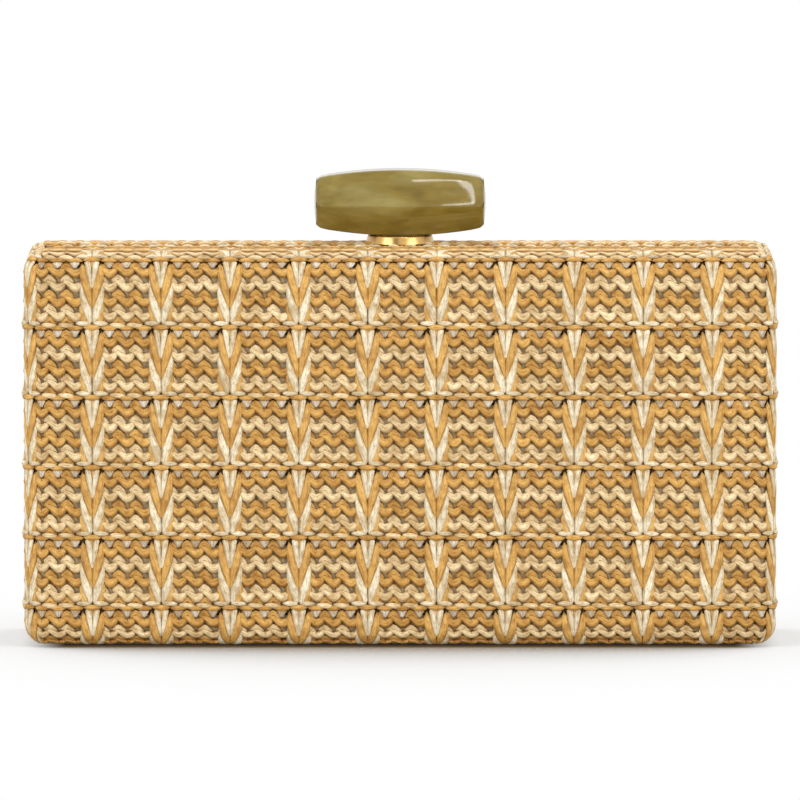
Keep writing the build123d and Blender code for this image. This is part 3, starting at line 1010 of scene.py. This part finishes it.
class CLUTCH_OT_stage(bpy.types.Operator):
    """Sets the floor, the studio light and the camera of the photograph"""
    bl_idname = "clutch.stage"
    bl_label = "Stage"

    def execute(self, context):
        stage = settings().stage
        case = settings().case
        scene = context.scene
        scene.view_settings.view_transform = "Standard"
        self.lay_floor(scene, stage, case.half_width)
        self.light_world(scene)
        for lamp in LAMPS:
            self.hang_lamp(scene, *lamp)
        self.hang_window(scene)
        self.hang_flag(scene)
        self.set_camera(scene, stage, -case.half_depth)
        return {"FINISHED"}

    def set_camera(self, scene, stage, front):
        """A camera that sees the front face as wide as the photograph shows it."""
        sensor = 36.0
        aim = Vector((0.0, front, stage.aim_height))
        eye = Vector((0.0, front - stage.distance, stage.camera_height))
        camera = bpy.data.cameras.new("photo_camera")
        camera.sensor_width = sensor
        camera.lens = sensor * (aim - eye).length / stage.frame_width
        camera.clip_start = 0.05
        camera.clip_end = 50.0
        viewer = bpy.data.objects.new("photo_camera", camera)
        viewer.location = eye
        viewer.rotation_euler = (aim - eye).to_track_quat("-Z", "Y").to_euler()
        scene.collection.objects.link(viewer)
        scene.camera = viewer

    def add_board(self, scene, name, bm, material):
        """A flat board of the studio."""
        mesh = bpy.data.meshes.new(name)
        bm.to_mesh(mesh)
        bm.free()
        mesh.materials.append(material)
        board = bpy.data.objects.new(name, mesh)
        scene.collection.objects.link(board)
        return board

    def lay_floor(self, scene, stage, half_width):
        """A wide pale floor: a painted shadow under the object where it sees little of the room, and clear to
        the white room and to an opened half.
        """
        material, tree, shader = new_material("studio_floor", {
            "Base Color": (*stage.floor, 1.0), "Roughness": 0.8, "Specular IOR Level": 0.1,
        })
        openness = add_node(tree, "AmbientOcclusion", samples=16, Distance=0.3).outputs["AO"]
        clear = ramp(tree, openness, grey_stops(*FLOOR_CLEAR))
        # Beside the short sides the shade is light, as in the photograph
        # The painted shadow is lightened by place along the case, fading out beside the short sides
        axes = add_node(tree, "SeparateXYZ", {"Vector": object_place(tree)}).outputs
        beside = add_node(tree, "MapRange", {"Value": maths(tree, "ABSOLUTE", axes["X"])},
                          interpolation_type="SMOOTHSTEP",
                          **{"From Min": half_width - 0.012, "From Max": half_width + 0.002, "To Max": 0.78})
        lighter = maths(tree, "MAXIMUM", clear, beside.outputs["Result"])
        # Painted shadow: a dark brown mixed in where the floor sees little of the room
        painted_contact_shadow = add_node(tree, "BsdfDiffuse", Color=(0.20, 0.12, 0.03, 1.0)).outputs["BSDF"]
        through = add_node(tree, "BsdfTransparent").outputs["BSDF"]
        shaded = add_node(tree, "MixShader", {0: lighter, 1: painted_contact_shadow, 2: through}).outputs["Shader"]
        # The lamps shine through to an opened half
        shadow_ray = add_node(tree, "LightPath").outputs["Is Shadow Ray"]
        lit = add_node(tree, "MixShader", {0: shadow_ray, 1: shader.outputs["BSDF"], 2: through})
        blend = add_node(tree, "MixShader", {0: seen_or_mirrored(tree), 1: lit.outputs["Shader"], 2: shaded})
        output = next(node for node in tree.nodes if node.type == "OUTPUT_MATERIAL")
        tree.links.new(blend.outputs["Shader"], output.inputs["Surface"])
        bm = bmesh.new()
        bmesh.ops.create_grid(bm, x_segments=1, y_segments=1, size=6.0)
        floor_piece = self.add_board(scene, "studio_floor", bm, material)

    def light_world(self, scene):
        """An even pale room, white to the eye."""
        world = bpy.data.worlds.new("studio_room")
        world.use_nodes = True
        tree = world.node_tree
        tree.nodes.clear()
        room = add_node(tree, "Background", Color=(*WHITE, 1.0), Strength=0.40).outputs[0]
        white = add_node(tree, "Background", Color=(*WHITE, 1.0), Strength=1.0).outputs[0]
        blend = add_node(tree, "MixShader", {0: seen_or_mirrored(tree), 1: room, 2: white})
        output = tree.nodes.new("ShaderNodeOutputWorld")
        tree.links.new(blend.outputs["Shader"], output.inputs["Surface"])
        scene.world = world

    def add_lamp(self, scene, name, wide, high, power):
        """A rectangular soft lamp."""
        lamp = bpy.data.lights.new(name, "AREA")
        lamp.shape = "RECTANGLE"
        lamp.size = wide
        lamp.size_y = high
        lamp.energy = power
        holder = bpy.data.objects.new(name, lamp)
        scene.collection.objects.link(holder)
        return holder

    def hang_lamp(self, scene, name, place, wide, high, power, mirrored):
        """A lamp that faces the middle of the case, and shows in polished pieces or doesn't."""
        aim = Vector((0.0, 0.0, 0.05))
        holder = self.add_lamp(scene, name, wide, high, power)
        holder.location = place
        holder.rotation_euler = (aim - Vector(place)).to_track_quat("-Z", "Y").to_euler()
        holder.visible_glossy = mirrored

    def hang_flag(self, scene):
        """A dark board over the camera's left that is seen only in polished pieces."""
        place, wide, high = (-0.36, -1.15, 0.60), 0.46, 0.40
        material = new_material("dark_flag", {"Base Color": (0.02, 0.02, 0.02, 1.0), "Roughness": 0.9})[0]
        bm = bmesh.new()
        bmesh.ops.create_grid(bm, x_segments=1, y_segments=1, size=0.5)
        bmesh.ops.scale(bm, vec=(wide, high, 1.0), verts=bm.verts)
        upright = Matrix.Translation(place) @ Matrix.Rotation(pi / 2, 4, "X")
        bmesh.ops.transform(bm, matrix=upright, verts=bm.verts)
        flag = self.add_board(scene, "dark_flag", bm, material)
        flag.visible_camera = False

    def hang_window(self, scene):
        """Three thin strips, the outline of a window that the knob's upper facet mirrors."""
        knob = Vector((0.0, 0.0, 0.11))
        brightness = 14 * pi

        def spot(across, up):
            around, rise = radians(across), radians(up)
            return knob + Vector((sin(around) * cos(rise), -cos(around) * cos(rise), sin(rise)))

        for index, (start, end, width) in enumerate(WINDOW_STRIPS):
            first, last = spot(*start), spot(*end)
            length = (last - first).length
            run = (last - first).normalized()
            inward = (knob - (first + last) / 2).normalized()
            side = inward.cross(run).normalized()
            holder = self.add_lamp(scene, "window_bar_%d" % index, length, width, brightness * length * width)
            facing = Matrix((run, -side, -inward)).transposed().to_4x4()
            holder.matrix_world = Matrix.Translation((first + last) / 2) @ facing


class CLUTCH_PT_panel(bpy.types.Panel):
    """Steps and settings of the clutch"""
    bl_label = "Woven Box Clutch"
    bl_idname = "CLUTCH_PT_panel"
    bl_space_type = "VIEW_3D"
    bl_region_type = "UI"
    bl_category = "Clutch"

    def draw(self, context):
        layout = self.layout
        for step in STEPS:
            layout.operator(step.bl_idname)
        for group in (settings().case, settings().weave, settings().finish, settings().stage):
            box = layout.box()
            for name in group.__annotations__:
                box.prop(group, name)


STEPS = (
    CLUTCH_OT_ground_cloth,
    CLUTCH_OT_knit,
    CLUTCH_OT_plaits,
    CLUTCH_OT_cords,
    CLUTCH_OT_knob,
    CLUTCH_OT_disc,
    CLUTCH_OT_fittings,
    CLUTCH_OT_stage,
)
CLASSES = (ClutchCase, ClutchWeave, ClutchFinish, ClutchStage, ClutchSettings, *STEPS, CLUTCH_PT_panel)


def register():
    for cls in CLASSES:
        bpy.utils.register_class(cls)
    bpy.types.Scene.clutch = PointerProperty(type=ClutchSettings)


def unregister():
    del bpy.types.Scene.clutch
    for cls in reversed(CLASSES):
        bpy.utils.unregister_class(cls)


def main():
    register()
    bpy.ops.clutch.ground_cloth()
    bpy.ops.clutch.knit()
    bpy.ops.clutch.plaits()
    bpy.ops.clutch.cords()
    bpy.ops.clutch.knob()
    bpy.ops.clutch.disc()
    bpy.ops.clutch.fittings()
    bpy.ops.clutch.stage()


if __name__ == "__main__":
    main()
